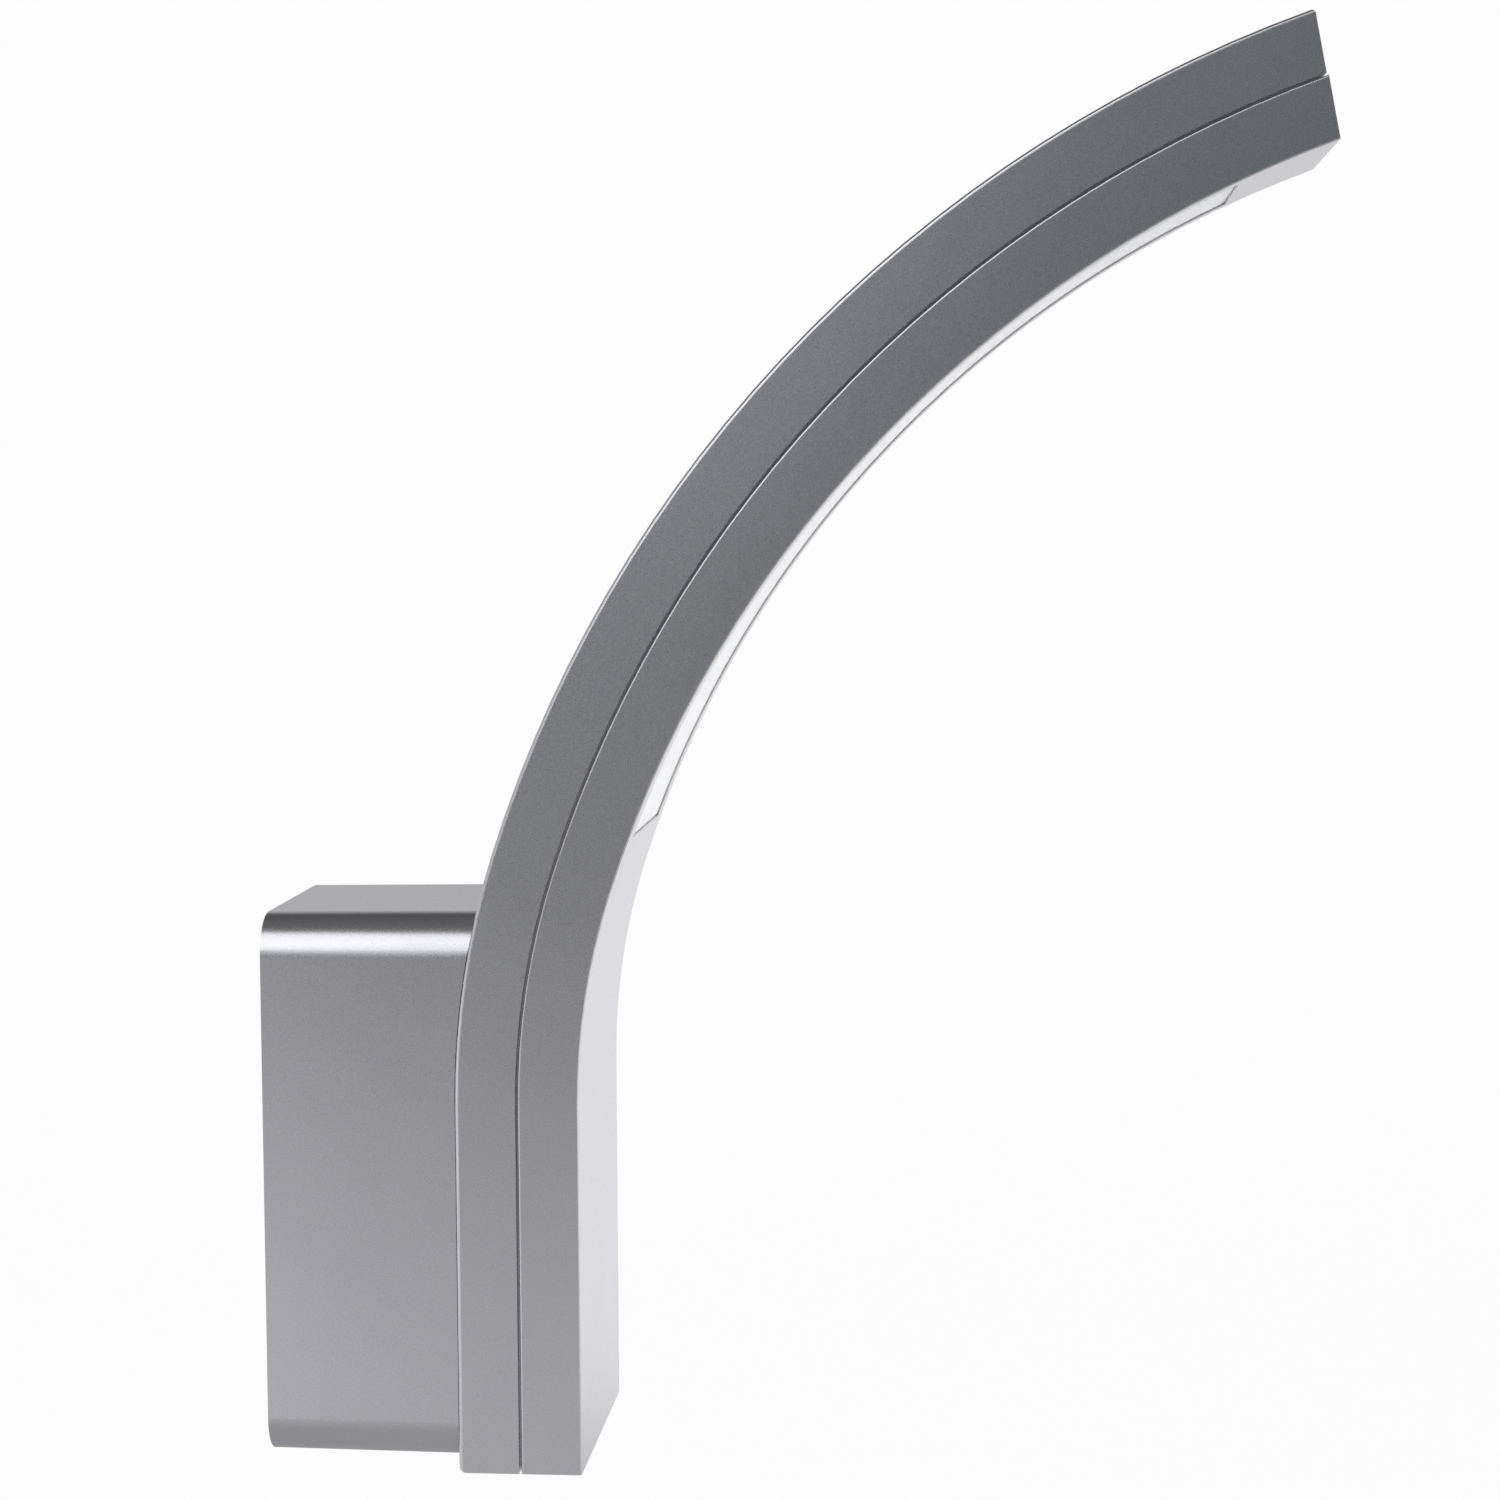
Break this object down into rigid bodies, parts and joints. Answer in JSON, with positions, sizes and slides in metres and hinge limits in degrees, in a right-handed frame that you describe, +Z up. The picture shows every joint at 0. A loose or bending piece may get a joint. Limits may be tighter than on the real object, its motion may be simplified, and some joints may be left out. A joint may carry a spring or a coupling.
{
  "type": "gooseneck wall sconce",
  "caption": "Silver wall light: a rigid flat-sided arm rises along a shallow wall box and arches forward to a square tip, with a curved opal light strip set in its hollow face.",
  "frame": {"origin": "on the wall plane, half way between the two wall screw slots of the bracket", "axes": "+X away from the wall, +Z up, the outside symmetric about Y = 0"},
  "size_m": [0.2385, 0.068, 0.3232],
  "materials": {
    "silver_paint": "fine satin silver powder coat",
    "opal_plastic": "opal, softly diffusing",
    "galvanised_sheet": "galvanised, dull",
    "zinc_screw": "zinc plated",
    "spring_steel": "bare rolled steel",
    "black_rubber": "matt",
    "aluminium_strip": "rolled, bare",
    "white_board": "white solder mask",
    "yellow_phosphor": "clear resin over yellow phosphor",
    "white_connector": "moulded",
    "white_case": "moulded, finely eroded",
    "green_board": "green solder mask",
    "dark_core": "ferrite and tape",
    "capacitor_sleeve": "shrunk sleeve",
    "natural_block": "natural polyamide",
    "brass_clamp": "turned",
    "brown_insulation": "extruded",
    "blue_insulation": "extruded",
    "earth_insulation": "green and yellow, extruded",
    "red_insulation": "extruded",
    "black_insulation": "extruded"
  },
  "bodies": {
    "root": {"wall_box": "silver_paint", "arm_rear_shell": "silver_paint", "arm_front_shell": "silver_paint", "diffuser": "opal_plastic", "wall_bracket": "galvanised_sheet", "bracket_nuts": "zinc_screw", "locking_screws": "zinc_screw", "arm_screws": "zinc_screw", "arm_screw_washers": "zinc_screw", "shell_screws": "zinc_screw", "cable_grommet": "black_rubber", "led_carrier": "aluminium_strip", "led_board": "white_board", "led_chips": "yellow_phosphor", "led_connector": "white_connector", "board_screws": "zinc_screw", "diffuser_clamps": "spring_steel", "clamp_screws": "zinc_screw", "driver_case": "white_case", "driver_cover": "white_case", "driver_board": "green_board", "driver_transformer": "dark_core", "driver_capacitors": "capacitor_sleeve", "driver_screws": "zinc_screw", "terminal_block": "natural_block", "terminal_clamps": "brass_clamp", "terminal_screws": "zinc_screw", "live_lead": "brown_insulation", "neutral_lead": "blue_insulation", "earth_lead": "earth_insulation", "earth_ring": "zinc_screw", "earth_screw": "zinc_screw", "earth_washer": "zinc_screw", "positive_lead": "red_insulation", "negative_lead": "black_insulation"}
  },
  "joints": []
}
